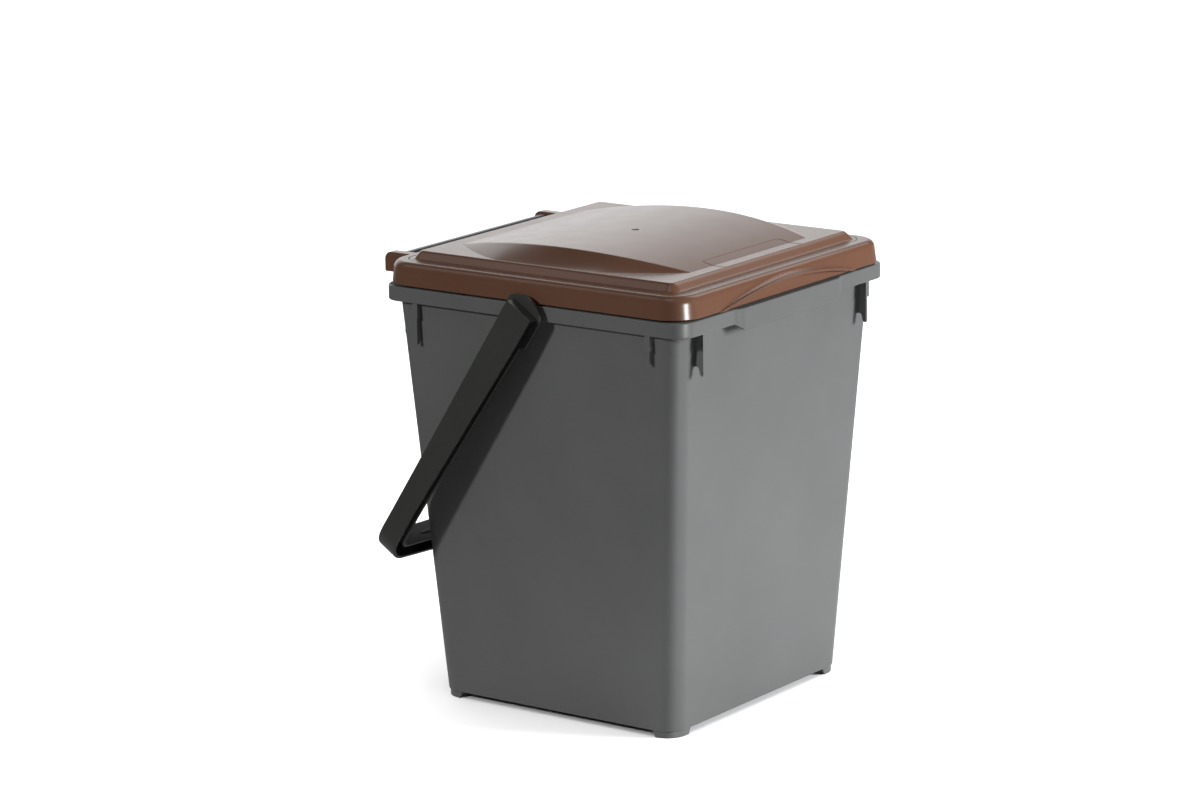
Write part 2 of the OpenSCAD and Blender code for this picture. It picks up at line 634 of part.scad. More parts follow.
module pivot_stud_right() pivot_stud(1);

bucket_tub();
rim_collar();
rim_apron();
stacking_fins();
base_feet();
hinge_bar();
hinge_brackets();
pivot_boss_left();
pivot_boss_right();
lid_panel();
lid_dome();
lid_pull_lip();
lid_seat_ring();
hinge_hook_left();
hinge_hook_right();
handle_arm_left();
handle_arm_right();
handle_grip();
grip_rib();
pivot_head_left();
pivot_head_right();
pivot_stud_left();
pivot_stud_right();
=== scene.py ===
import math

import bmesh
import bpy
import numpy as np
from mathutils import Matrix, Vector


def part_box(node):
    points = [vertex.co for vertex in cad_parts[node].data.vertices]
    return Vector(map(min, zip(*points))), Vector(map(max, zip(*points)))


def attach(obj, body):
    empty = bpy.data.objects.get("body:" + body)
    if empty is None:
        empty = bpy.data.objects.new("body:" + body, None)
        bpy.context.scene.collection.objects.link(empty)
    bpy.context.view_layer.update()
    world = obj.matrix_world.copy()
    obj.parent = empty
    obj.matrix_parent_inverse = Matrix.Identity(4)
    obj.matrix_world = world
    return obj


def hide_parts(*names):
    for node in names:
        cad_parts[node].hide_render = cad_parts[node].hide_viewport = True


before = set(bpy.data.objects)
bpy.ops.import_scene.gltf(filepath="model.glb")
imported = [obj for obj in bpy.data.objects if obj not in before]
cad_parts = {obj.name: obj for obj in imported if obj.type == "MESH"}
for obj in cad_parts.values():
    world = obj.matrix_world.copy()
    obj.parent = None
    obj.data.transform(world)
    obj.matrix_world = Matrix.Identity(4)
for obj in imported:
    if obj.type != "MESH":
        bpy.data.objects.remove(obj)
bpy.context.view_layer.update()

# Sizes are in millimetres, and heights count from the floor. The bucket's middle is y = 0 here;
# plain_object() moves every point into the frame's own place and turns it into metres.
MM = 0.001
collar_low, collar_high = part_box("rim_collar")
MIDDLE_Y = (collar_low.y + collar_high.y) / 2

# Bucket
RIM_HEIGHT = 275.0
RIM_HALF = (116.5, 118.5)
RIM_CORNER = 14.0
RIM_THICK = 2.0
RIM_ROUND = 0.8
TUB_BASE_HALF = (96.0, 93.0)
TUB_TOP_HALF = (112.5, 111.9)
TUB_BASE_CORNER = 13.5
TUB_CORNER = 13.0
TUB_WALL = 2.2
TUB_FILLET = 1.2
MOUTH_ROUND = 0.7
FLOOR_THICK = 2.5
FLOOR_FILLET = 3.0
FOOT_HEIGHT = 4.4
BASE_ROUND = 0.6
BAND_BOTTOM = 265.4
BAND_FILLET = 0.4
BAND_INNER_ROUND = 0.5
BAND_OUTER_ROUND = 0.7
APRON_WIDTH = 114.0
APRON_OUT = 2.8
APRON_DROP = 4.3
APRON_BLEND = 9.0
# Flat rib along the hinge rail: lower left front corner, upper right back corner, edge rounding
RAIL_RIB = ((-76.0, 129.4, 283.5), (76.0, 133.0, 287.5))
RAIL_RIB_ROUND = 0.5

# Lid
LID_BOTTOM = 276.25
LID_CORNER = 20.5
LID_THICK = 2.0
# Inner skin: how much higher its lower edge is, and its share of the thickness on the slope
LID_INNER_EDGE = 0.3
LID_INNER_SHARE = 0.6
SKIRT_HEIGHT = 14.55
SKIRT_DRAFT = 1.1
SKIRT_ROUND = 0.5
SHOULDER = 5.0
LEDGE_Z = LID_BOTTOM + SKIRT_HEIGHT
LEDGE_GROOVE = 7.95
GROOVE_DEPTH = 0.42
PANEL_HALF = (98.3, 99.3)
PANEL_BACK = 1.0
PANEL_CORNER = 3.5
PANEL_SLOPE = 4.75
PANEL_RISE = 5.2
PANEL_FILLET = 1.2
PANEL_ROUND = 2.4
PANEL_Z = LEDGE_Z + PANEL_RISE
DOME_RISE = 8.85
DOME_HALF = 89.025
DOME_MIDDLE = 0.375
DOME_END_HALF = 65.0
DOME_TOE = 1.0
DOME_TOP_WIDEN = 12.5
DOME_FLARE = 39.0
DOME_EDGE = 1.4
# Scoops beside the dome: power of their curve, how much it falls off to the back, rounding on top
SCOOP_CURVE = 1.15
SCOOP_TREND = 0.32
SCOOP_BLEND = 0.4
GATE_MARK = (-6.3, -4.6)
GATE_DEPTH = 0.9
# Insert's mark: left and right side, back and front end, corner
INSERT_SIDES = (-39.5, 46.5)
INSERT_ENDS = (-79.0, -97.0)
INSERT_CORNER = 3.0
LIP_WIDTH = 155.0
LIP_RUN_ON = 2.0
LIP_ARCH = 12.2
LIP_OUT = 4.6
LIP_ANGLE = math.radians(26.5)
LIP_EDGE = 1.3
LIP_TIP = 0.05
LIP_ROOT = 3.0
LIP_BEAD = 0.7
LIP_HOLLOW = 2.5

# Handle, drawn hanging straight down from its pivot
PIVOT = (2.5, 266.0)
HANG_ANGLE = math.radians(33.5)
ARM_IN = 121.0
ARM_X = 130.8
HANDLE_WALL = 2.2
HANDLE_ROUND = 0.4
ARM_OVER = 10.0
ARM_STRAIGHT = 0.86
GRIP_REACH = 189.0
GRIP_DEPTH = 12.4
BOW_INNER = 4.0
BOW_OUTER = 6.2
BAIL_CORNER = 20.0
BAIL_INNER_CORNER = 7.0
ARM_FRONT = 10.6
ARM_BACK = 10.0
GRIP_FRONT = 6.1
GRIP_BACK = 8.8
TAPER_LENGTH = 158.0
HEAD_LENGTH = 16.0
# How much both sides of the inner wall draw in beside the pivot heads
HEAD_TUCK = 0.3

# CAD nodes copied with rounded edges: node, name of the piece, body, width of the rounding
SMALL_PIECES = (
    ("stacking_fins", "fins", "bucket", 0.3),
    ("base_feet", "feet", "bucket", 0.4),
    ("hinge_bar", "hinge_rail", "bucket", 0.6),
    ("hinge_brackets", "rail_brackets", "bucket", 0.4),
    ("pivot_boss_left", "boss_left", "bucket", 0.5),
    ("pivot_boss_right", "boss_right", "bucket", 0.5),
    ("lid_seat_ring", "lid_locating_ring", "lid", 0.3),
    ("hinge_hook_left", "hook_left", "lid", 0.8),
    ("hinge_hook_right", "hook_right", "lid", 0.8),
    ("grip_rib", "grip_ridge", "handle", 0.3),
    ("pivot_head_left", "head_left", "handle", 0.35),
    ("pivot_head_right", "head_right", "handle", 0.35),
    ("pivot_stud_left", "stud_left", "handle", 0.3),
    ("pivot_stud_right", "stud_right", "handle", 0.3),
)

# How finely the curves are cut
CORNER_STEPS = 10
APRON_STEPS = 12
DOME_ROWS = 36
GATE_STEPS = 24
INSERT_STEPS = 12
LIP_STEPS = 48
ARM_STEPS = 12
BAIL_CORNER_STEPS = 12
BOW_STEPS = 28

# Mesh work: points closer than these, in metres, are merged
MERGE = 1e-6
NODE_MERGE = 2e-6
# Degrees: edges that turn more than SHARP_ANGLE are rounded, a CAD node's faces that turn less
# than FLAT_ANGLE are joined, and edges that turn less than SMOOTH_ANGLE are shaded smooth
SHARP_ANGLE = 40.0
FLAT_ANGLE = 0.6
SMOOTH_ANGLE = 35.0
ROUND_SEGMENTS = 3
FLAT_WEIGHT = 90

# Plastics: slot, colour, its variation, roughness, strength of the sink and of the grain
PLASTICS = {
    "bucket": ("bucket_plastic", (0.118, 0.120, 0.119), 0.06, 0.36, 0.30, 0.10),
    "lid": ("lid_plastic", (0.130, 0.062, 0.039), 0.05, 0.25, 0.09, 0.03),
    "handle": ("handle_plastic", (0.040, 0.040, 0.038), 0.08, 0.34, 0.35, 0.12),
}
PLASTIC_IOR = 1.49
ROUGHNESS_SPREAD = 0.012
CLOUD_SCALE = 14.0
FLOW_STRETCH = (70.0, 70.0, 9.0)
FLOW_SHARE = 0.10
SPECK_SCALE = 2600.0
SPECK_SHARE = 0.18
GRAIN_SCALE = 1500.0
GRAIN_DEPTH = 0.00004
SINK_SCALE = 9.0
SINK_DEPTH = 0.0008

# Camera at the photograph's place: azimuth, elevation and roll in degrees, place in metres,
# and the lens for its sensor in millimetres
CAMERA_TURN = (-53.76, 13.25, -0.96)
CAMERA_PLACE = (-2.34443, -1.68864, 0.87123)
CAMERA_LENS = 136.88
CAMERA_SENSOR = 36.0
CAMERA_FAR = 50.0

# Soft boxes that look at the middle of the object: name, azimuth, elevation, distance, width,
# height, power, colour, then whether each gives fill light and whether it is reflected
WHITE = (1.0, 1.0, 1.0)
LIGHTS = (
    ("front_box", -64, 14, 2.4, 0.8, 0.8, 108, (0.97, 0.985, 1.0), True, False),
    ("right_lamp", -5, 12, 2.6, 0.25, 0.25, 9, (0.93, 0.97, 1.0), True, False),
    ("strip", -104, 2, 2.4, 0.48, 0.46, 37, WHITE, False, True),
    ("left_lamp", 168, 27, 2.6, 0.20, 0.20, 33, WHITE, True, False),
    ("slope_sheen", 118, 49, 2.2, 0.9, 0.9, 2, WHITE, False, True),
    ("top_box", -5, 48, 2.2, 1.0, 1.0, 6, WHITE, False, True),
    ("left_top", 185, 65, 2.2, 0.8, 0.8, 3, WHITE, True, True),
)
AIM_HEIGHT = 0.15
# Bright side of the room: azimuth and elevation, then nearness to it and strength, from and to
GLOW_TURN = (50, 6)
GLOW_RANGE = (0.80, 0.965, 0.02, 1.90)
FLOOR_HALF = 12.0
FLOOR_TONES = ((0.88, 0.88, 0.88), (0.92, 0.92, 0.92))
# Patches of floor that throw light back up: centre, near and far distance, tone at each
FLOOR_PATCHES = (
    ((0.10, -0.24, 0.0), 0.3, 0.75, 0.35, 0.05),
    ((5.6, 4.4, 0.0), 4.6, 5.8, 0.9, 0.0),
)
WASH_STRENGTH = 3.6
WASH_ANGLE = 100


# ---------------------------------------------------------------- materials
def new_material(name):
    material = bpy.data.materials.new(name)
    material.use_nodes = True
    tree = material.node_tree
    tree.nodes.clear()
    shader = tree.nodes.new("ShaderNodeBsdfPrincipled")
    output = tree.nodes.new("ShaderNodeOutputMaterial")
    tree.links.new(shader.outputs[0], output.inputs[0])
    return material, tree, shader


def noise(tree, vector, scale, detail, roughness=0.5):
    node = tree.nodes.new("ShaderNodeTexNoise")
    node.inputs["Scale"].default_value = scale
    node.inputs["Detail"].default_value = detail
    node.inputs["Roughness"].default_value = roughness
    tree.links.new(vector, node.inputs["Vector"])
    return node.outputs["Fac"]


def remap(tree, value, low, high, to_low, to_high):
    node = tree.nodes.new("ShaderNodeMapRange")
    for index, number in enumerate((low, high, to_low, to_high), 1):
        node.inputs[index].default_value = number
    tree.links.new(value, node.inputs[0])
    return node.outputs[0]


def stretched(tree, vector, scale):
    node = tree.nodes.new("ShaderNodeMapping")
    node.inputs["Scale"].default_value = scale
    tree.links.new(vector, node.inputs["Vector"])
    return node.outputs[0]


def mix_colour(tree, factor, first, second):
    """Mix of two colours, each a tuple or a socket, by the factor's socket."""
    node = tree.nodes.new("ShaderNodeMix")
    node.data_type = "RGBA"
    tree.links.new(factor, node.inputs[0])
    for socket, value in ((node.inputs[6], first), (node.inputs[7], second)):
        if isinstance(value, tuple):
            socket.default_value = (*value, 1.0)
        else:
            tree.links.new(value, socket)
    return node.outputs[2]


def bump(tree, height, strength, depth):
    node = tree.nodes.new("ShaderNodeBump")
    node.inputs["Strength"].default_value = strength
    node.inputs["Distance"].default_value = depth
    tree.links.new(height, node.inputs["Height"])
    return node


def moulded_plastic(name, colour, variation, roughness, waviness, graininess):
    """Satin polypropylene: cloudy pigment, fine grain, flow streaks and slight sink marks."""
    material, tree, shader = new_material(name)
    place = tree.nodes.new("ShaderNodeTexCoord").outputs["Object"]
    cloud = noise(tree, place, CLOUD_SCALE, 4.0)
    flow = noise(tree, stretched(tree, place, FLOW_STRETCH), 1.0, 3.0)
    speck = noise(tree, place, SPECK_SCALE, 2.0, 0.7)
    darker = tuple(c * (1 - variation) for c in colour)
    lighter = tuple(min(1.0, c * (1 + variation)) for c in colour)
    base = mix_colour(tree, remap(tree, cloud, 0.3, 0.7, 0.0, 1.0), darker, lighter)
    base = mix_colour(tree, remap(tree, flow, 0.35, 0.65, 0.0, FLOW_SHARE), base, lighter)
    base = mix_colour(tree, remap(tree, speck, 0.55, 0.8, 0.0, SPECK_SHARE), base, darker)
    tree.links.new(base, shader.inputs["Base Color"])
    rough = remap(tree, flow, 0.3, 0.7, roughness - ROUGHNESS_SPREAD, roughness + ROUGHNESS_SPREAD)
    tree.links.new(rough, shader.inputs["Roughness"])
    shader.inputs["IOR"].default_value = PLASTIC_IOR
    grain = bump(tree, noise(tree, place, GRAIN_SCALE, 2.0, 0.6), graininess, GRAIN_DEPTH)
    sink = bump(tree, noise(tree, place, SINK_SCALE, 1.0), waviness, SINK_DEPTH)
    tree.links.new(grain.outputs[0], sink.inputs["Normal"])
    tree.links.new(sink.outputs[0], shader.inputs["Normal"])
    return material


BODY_LOOK = {body: (moulded_plastic(slot, *look), slot)
             for body, (slot, *look) in PLASTICS.items()}


# ---------------------------------------------------------------- mesh helpers
def finish_mesh(obj, body, nodes, smooth_angle=SMOOTH_ANGLE):
    """Shades the mesh, keeps its flats flat, and hands it to the frame."""
    mesh = obj.data
    mesh.shade_smooth()
    mesh.set_sharp_from_angle(angle=math.radians(smooth_angle))
    weighted = obj.modifiers.new("flats", "WEIGHTED_NORMAL")
    weighted.keep_sharp = True
    weighted.weight = FLAT_WEIGHT
    material, slot = BODY_LOOK[body]
    mesh.materials.clear()
    mesh.materials.append(material)
    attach(obj, body)
    if nodes:
        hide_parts(*nodes)


def cut_away(obj, cutter):
    """Takes the cutter's shape out of obj."""
    boolean = obj.modifiers.new("cut", "BOOLEAN")
    boolean.operation = "DIFFERENCE"
    boolean.solver = "EXACT"
    boolean.object = cutter
    seen = obj.evaluated_get(bpy.context.evaluated_depsgraph_get())
    mesh = bpy.data.meshes.new_from_object(seen)
    obj.modifiers.remove(boolean)
    obj.data = mesh
    bpy.data.objects.remove(cutter)


def round_edges(work, width):
    sharp = [e for e in work.edges if len(e.link_faces) == 2
             and e.calc_face_angle(0.0) > math.radians(SHARP_ANGLE)]
    bmesh.ops.bevel(work, geom=sharp, offset=width * MM, segments=ROUND_SEGMENTS, profile=0.5,
                    affect="EDGES", clamp_overlap=True)


def plain_object(name, points, faces, bevel=None):
    """Bare mesh object from points in the object's own millimetres."""
    points = np.asarray(points, float) * MM
    points[:, 1] += MIDDLE_Y
    mesh = bpy.data.meshes.new(name)
    mesh.from_pydata([tuple(p) for p in points], [], faces)
    work = bmesh.new()
    work.from_mesh(mesh)
    bmesh.ops.remove_doubles(work, verts=work.verts, dist=MERGE)
    bmesh.ops.recalc_face_normals(work, faces=work.faces)
    if bevel:
        round_edges(work, bevel)
    work.to_mesh(mesh)
    work.free()
    obj = bpy.data.objects.new(name, mesh)
    bpy.context.scene.collection.objects.link(obj)
    return obj


def mesh_piece(name, points, faces, body, nodes=(), smooth_angle=SMOOTH_ANGLE, bevel=None,
               cutter=None):
    """Piece from points in the object's own millimetres, in place of the CAD nodes it names."""
    obj = plain_object(name, points, faces, bevel)
    if cutter is not None:
        cut_away(obj, cutter)
    finish_mesh(obj, body, nodes, smooth_angle)


def softened(node, name, body, width):
    """Copy of a CAD node with its flats joined up and its edges rounded."""
    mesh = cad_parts[node].data.copy()
    mesh.name = name
    work = bmesh.new()
    work.from_mesh(mesh)
    bmesh.ops.remove_doubles(work, verts=work.verts, dist=NODE_MERGE)
    bmesh.ops.dissolve_limit(work, angle_limit=math.radians(FLAT_ANGLE),
                             verts=work.verts, edges=work.edges)
    round_edges(work, width)
    work.to_mesh(mesh)
    work.free()
    obj = bpy.data.objects.new(name, mesh)
    bpy.context.scene.collection.objects.link(obj)
    finish_mesh(obj, body, (node,))


def ring(half, radius, z, xs=(), ys=(), middle=0.0):
    """Rounded rectangle as a closed list of points, with extra points at xs along the front and
    back and at ys along the sides. It starts at the back right corner and runs to the left."""
    points = []
    for quarter, (sx, sy) in enumerate(((1, 1), (-1, 1), (-1, -1), (1, -1))):
        for step in range(CORNER_STEPS + 1):
            angle = math.radians(90 * (quarter + step / CORNER_STEPS))
            points.append((sx * (half[0] - radius) + radius * math.cos(angle),
                           middle + sy * (half[1] - radius) + radius * math.sin(angle), z))
        if quarter == 0:
            points += [(x, middle + half[1], z) for x in sorted(xs, reverse=True)]
        elif quarter == 1:
            points += [(-half[0], y, z) for y in sorted(ys, reverse=True)]
        elif quarter == 2:
            points += [(x, middle - half[1], z) for x in sorted(xs)]
        else:
            points += [(half[0], y, z) for y in sorted(ys)]
    return points


def inset(half, distance):
    return (half[0] - distance, half[1] - distance)


def joined(rings):
    return [point for one in rings for point in one]


def loft_faces(rows, count, first=0):
    """Quads between consecutive rings of count points each."""
    faces = []
    for a in range(first, first + (rows - 1) * count, count):
        b = a + count
        faces += [(a + i, a + (i + 1) % count, b + (i + 1) % count, b + i) for i in range(count)]
    return faces


def end_faces(rows, count):
    """The first and the last ring as one flat face each."""
    return [tuple(reversed(range(count))), tuple(range((rows - 1) * count, rows * count))]


def quarter_turn(steps):
    """Sine and cosine pairs along a quarter circle."""
    angles = [math.pi / 2 * k / steps for k in range(steps + 1)]
    return [(math.sin(angle), math.cos(angle)) for angle in angles]


def bend_curve(start, corner, end, steps):
    """Points along a curve that leaves start towards corner and arrives at end from it."""
    shares = [k / steps for k in range(steps + 1)]
    return [tuple((1 - q) ** 2 * a + 2 * q * (1 - q) * b + q * q * c
                  for a, b, c in zip(start, corner, end)) for q in shares]


# ---------------------------------------------------------------- bucket
def up(z):
    """Share of the way from the tub's base to its rim."""
    return (z - FOOT_HEIGHT) / (RIM_HEIGHT - FOOT_HEIGHT)


def tub_half(z):
    return tuple(b + (t - b) * up(z) for b, t in zip(TUB_BASE_HALF, TUB_TOP_HALF))


def tub_radius(z):
    return TUB_BASE_CORNER + (TUB_CORNER - TUB_BASE_CORNER) * up(z)


def apron_share(x):
    """Share of the apron's full size at x: 1 along its middle, falling to 0 at its ends."""
    share = (APRON_WIDTH / 2 + APRON_BLEND / 2 - abs(x)) / APRON_BLEND
    share = min(1.0, max(0.0, share))
    return share * share * (3 - 2 * share)


def bucket_shell():
    """Tub, rim and apron in one skin: up the outside, around the band, down the inside."""
    reach = APRON_WIDTH / 2 + APRON_BLEND / 2
    ends = [reach - APRON_BLEND * k / APRON_STEPS for k in range(APRON_STEPS + 1)]
    middles = [k * 10.0 for k in range(-5, 6)] + [-75.0, 75.0]
    xs = sorted(set([-x for x in ends] + ends + middles))
    ys = [k * 15.0 for k in range(-5, 6)]
    rings = []

    def add(half, radius, z, out=0.0, drop=0.0):
        """One more ring; out and drop are shares of the apron's size along the front."""
        points = ring(half, radius, z, xs, ys)
        for index, (x, y, height) in enumerate(points):
            if y < -half[1] + 0.01 and (out or drop):
                share = apron_share(x)
                points[index] = (x, y - out * APRON_OUT * share,
                                 height - drop * APRON_DROP * share)
        rings.append(points)

    # Up the outside of the tub
    for sine, cosine in quarter_turn(4):
        z = FOOT_HEIGHT + BASE_ROUND * (1 - cosine)
        shift = BASE_ROUND * (1 - sine)
        add(inset(tub_half(z), shift), tub_radius(z) - shift / 2, z)
    for z in [12.0, 30.0] + [30.0 + 26.0 * k for k in range(1, 10)] + [268.0, 271.5]:
        add(tub_half(z), tub_radius(z), z)
    under = RIM_HEIGHT - RIM_THICK
    for sine, cosine in quarter_turn(3)[1:]:
        out = TUB_FILLET * (1 - cosine)
        add(inset(tub_half(under), -out), tub_radius(under) + out, under - TUB_FILLET * (1 - sine))
    # Down inside the band, around its lower edge and up to the rim's top edge
    band_in = inset(RIM_HALF, RIM_THICK)
    band_corner = RIM_CORNER - RIM_THICK
    add(inset(band_in, BAND_FILLET), band_corner - BAND_FILLET, under, 0.8)
    add(band_in, band_corner, under - BAND_FILLET, 1.0)
    add(band_in, band_corner, BAND_BOTTOM + BAND_INNER_ROUND, 1.0, 1.0)
    for sine, cosine in quarter_turn(3):
        out = BAND_INNER_ROUND * (1 - cosine)
        add(inset(band_in, -out), band_corner + out,
            BAND_BOTTOM + BAND_INNER_ROUND * (1 - sine), 1.0, 1.0)
    for sine, cosine in quarter_turn(4):
        shift = BAND_OUTER_ROUND * (1 - sine)
        add(inset(RIM_HALF, shift), RIM_CORNER - shift,
            BAND_BOTTOM + BAND_OUTER_ROUND * (1 - cosine), 1.0, 1.0)
    add(RIM_HALF, RIM_CORNER, BAND_BOTTOM + 4.0, 1.0, 0.5)
    for sine, cosine in quarter_turn(4):
        shift = RIM_ROUND * (1 - cosine)
        add(inset(RIM_HALF, shift), RIM_CORNER - shift, RIM_HEIGHT - RIM_ROUND * (1 - sine), 1.0)
    # Over the mouth's edge, down the inside and onto the floor
    mouth = inset(tub_half(RIM_HEIGHT), TUB_WALL)
    mouth_corner = TUB_CORNER - TUB_WALL
    for sine, cosine in quarter_turn(3):
        out = MOUTH_ROUND * (1 - sine)
        add(inset(mouth, -out), mouth_corner + out, RIM_HEIGHT - MOUTH_ROUND * (1 - cosine))
    for z in [262.0] + [250.0 - 27.0 * k for k in range(9)]:
        add(inset(tub_half(z), TUB_WALL), tub_radius(z) - TUB_WALL, z)
    floor_z = FOOT_HEIGHT + FLOOR_THICK
    for sine, cosine in quarter_turn(4):
        z = floor_z + FLOOR_FILLET * (1 - sine)
        shift = TUB_WALL + FLOOR_FILLET * (1 - cosine)
        add(inset(tub_half(z), shift), tub_radius(z) - shift, z)
    count = len(rings[0])
    faces = loft_faces(len(rings), count) + end_faces(len(rings), count)
    mesh_piece("bucket_shell", joined(rings), faces, "bucket",
               ("bucket_tub", "rim_collar", "rim_apron"))


def box_piece(name, low, high, body, bevel):
    """Small block with rounded edges between two corners."""
    points = [(x, y, z) for z in (low[2], high[2]) for y in (low[1], high[1])
              for x in (low[0], high[0])]
    faces = [(0, 2, 3, 1), (4, 5, 7, 6), (0, 1, 5, 4), (1, 3, 7, 5), (3, 2, 6, 7), (2, 0, 4, 6)]
    mesh_piece(name, points, faces, body, bevel=bevel)


# ---------------------------------------------------------------- lid
def dome_height(t):
    """Height of the dome over the panel, at t from -1 at its front end to 1 at its back end."""
    radius = (DOME_HALF ** 2 + DOME_RISE ** 2) / (2 * DOME_RISE)
    return math.sqrt(radius ** 2 - (DOME_HALF * t) ** 2) - radius + DOME_RISE


def dome_row(t, inner):
    """Points across the dome at t, from its left foot to its right foot."""
    height = dome_height(t)
    swell = 1 - t * t
    foot = min(PANEL_HALF[0] - DOME_EDGE, DOME_END_HALF + DOME_TOE + DOME_FLARE * swell)
    crest = DOME_END_HALF + DOME_TOP_WIDEN * swell
    width = foot - crest
    # Close together in millimetres around the crest, then in shares of the way to the foot
    scale = min(1.0, width / 5.0)
    near_crest = (-2.0, -1.0, -0.5, -0.2, 0.05, 0.3, 0.6, 0.9, 1.2, 1.7, 2.6)
    spots = [crest + scale * d for d in near_crest]
    spots += [crest + 2.6 * scale + (width - 2.6 * scale) * k
              for k in (0.15, 0.3, 0.5, 0.7, 0.85, 0.93, 0.98, 1.0)]
    blend = min(SCOOP_BLEND, 0.5 * height) + 1e-6
    curve = SCOOP_CURVE * (1 - SCOOP_TREND * t)
    side = []
    for x in spots:
        scoop = height * max(0.0, (foot - x) / width) ** curve
        near = max(blend - abs(height - scoop), 0.0) / blend
        side.append((x, min(height, scoop) - near * near * blend / 4))
    flat = [-48.0, -32.0, -16.0, 0.0, 16.0, 32.0, 48.0]
    y = DOME_MIDDLE + DOME_HALF * t
    drop = LID_THICK if inner else 0.0
    row = [(-x, y, PANEL_Z - drop + h) for x, h in reversed(side)]
    row += [(x, y, PANEL_Z - drop + height) for x in flat]
    row += [(x, y, PANEL_Z - drop + h) for x, h in side]
    return row


def panel_profile():
    """Ledge, fine groove, slope and rounded top edge: distance outside the panel, and height."""
    rise = PANEL_RISE / PANEL_SLOPE
    along = 1 / math.hypot(1, rise)
    foot, top = PANEL_FILLET * along, PANEL_ROUND * along
    groove = ((0.9, 0.0), (0.4, -0.03), (0.12, -GROOVE_DEPTH),
              (-0.12, -GROOVE_DEPTH), (-0.4, -0.03), (-0.9, 0.0))
    points = [(LEDGE_GROOVE + out, height) for out, height in groove]
    points += bend_curve((PANEL_SLOPE + PANEL_FILLET, 0.0), (PANEL_SLOPE, 0.0),
                         (PANEL_SLOPE - foot, foot * rise), 4)
    points += bend_curve((top, PANEL_RISE - top * rise), (0.0, PANEL_RISE),
                         (-PANEL_ROUND / 2, PANEL_RISE), 6)
    return points


def lid_top(x, y):
    """Height of the lid's panel or dome, away from the scooped sides."""
    t = (y - DOME_MIDDLE) / DOME_HALF
    return PANEL_Z + (dome_height(t) if abs(t) < 1 else 0.0)


def lathe(centre, profile, steps):
    """Points and faces of a closed turned shape from radius and height pairs."""
    turns = [2 * math.pi * k / steps for k in range(steps)]
    points = [(centre[0] + r * math.cos(a), centre[1] + r * math.sin(a), centre[2] + z)
              for r, z in profile for a in turns]
    return points, loft_faces(len(profile), steps) + end_faces(len(profile), steps)


def gate_cutter():
    """Shallow round recess with a raised stub in it, where the lid's moulding was filled."""
    x, y = GATE_MARK
    profile = [(0.7, 0.8), (0.7, 0.0), (1.6, -0.3), (2.3, 0.0), (2.9, 2.0)]
    points, faces = lathe((x, y, lid_top(x, y) - GATE_DEPTH), profile, GATE_STEPS)
    return plain_object("gate_cutter", points, faces)


def lid_shell():
    """Skirt, shoulder, ledge, raised panel and scooped dome as one moulding, 2 mm thick."""
    rows = [-1.0, -0.998, -0.99] + [-1 + 2 * k / DOME_ROWS for k in range(1, DOME_ROWS)]
    rows += [0.99, 0.998, 1.0]
    grids = [[dome_row(t, inner) for t in rows] for inner in (False, True)]
    across = len(grids[0][0])
    last = len(rows) - 1
    xs = [p[0] for p in grids[0][0]][1:-1]
    ys = [grid_row[0][1] for grid_row in grids[0]][1:-1]
    points = []
    faces = []
    firsts = []
    for inner in (False, True):
        t = LID_THICK if inner else 0.0
        rings = []

        def add(half, radius, z, middle=0.0):
            rings.append(ring(half, radius, z, xs, ys, middle))

        half = inset(RIM_HALF, t)
        if inner:
            add(half, LID_CORNER - t, LID_BOTTOM + LID_INNER_EDGE)
        else:
            for sine, cosine in quarter_turn(3):
                shift = SKIRT_ROUND * (1 - sine)
                add(inset(half, shift), LID_CORNER - shift,
                    LID_BOTTOM + SKIRT_ROUND * (1 - cosine))
        drafted = inset(RIM_HALF, SKIRT_DRAFT + t)
        corner = LID_CORNER - SKIRT_DRAFT - t
        bend = SHOULDER - t
        for sine, cosine in quarter_turn(8):
            shift = bend * (1 - cosine)
            add(inset(drafted, shift), corner - shift, LEDGE_Z - SHOULDER + bend * sine)
        profile = [(PANEL_SLOPE, 0.0), (0.0, PANEL_RISE)] if inner else panel_profile()
        for out, height in profile:
            reach = out - t * LID_INNER_SHARE
            add(inset(PANEL_HALF, -reach), PANEL_CORNER + reach, LEDGE_Z - t + height, PANEL_BACK)
        first = len(points)
        firsts.append(first)
        count = len(rings[0])
        points += joined(rings)
        faces += loft_faces(len(rings), count, first)
        outer_ring = first + (len(rings) - 1) * count
        grid_first = len(points)
        points += joined(grids[1 if inner else 0])
        faces += [(grid_first + j * across + i, grid_first + j * across + i + 1,
                   grid_first + (j + 1) * across + i + 1, grid_first + (j + 1) * across + i)
                  for j in range(last) for i in range(across - 1)]
        # The panel's flat: every point of the last ring meets its own point of the dome's outline
        bends = CORNER_STEPS + 1
        edge = [(last, across - 1)] * bends + [(last, i) for i in range(across - 2, 0, -1)]
        edge += [(last, 0)] * bends + [(j, 0) for j in range(last - 1, 0, -1)]
        edge += [(0, 0)] * bends + [(0, i) for i in range(1, across - 1)]
        edge += [(0, across - 1)] * bends + [(j, across - 1) for j in range(1, last)]
        meets = [grid_first + j * across + i for j, i in edge]
        for i in range(count):
            k = (i + 1) % count
            corners = [outer_ring + i, outer_ring + k, meets[k], meets[i]]
            faces.append(tuple(dict.fromkeys(corners)))
    # The skirt's lower edge joins the outside and the inside
    a, b = firsts
    faces += [(a + i, a + (i + 1) % count, b + (i + 1) % count, b + i) for i in range(count)]
    mesh_piece("lid_shell", points, faces, "lid", ("lid_panel", "lid_dome"), cutter=gate_cutter())


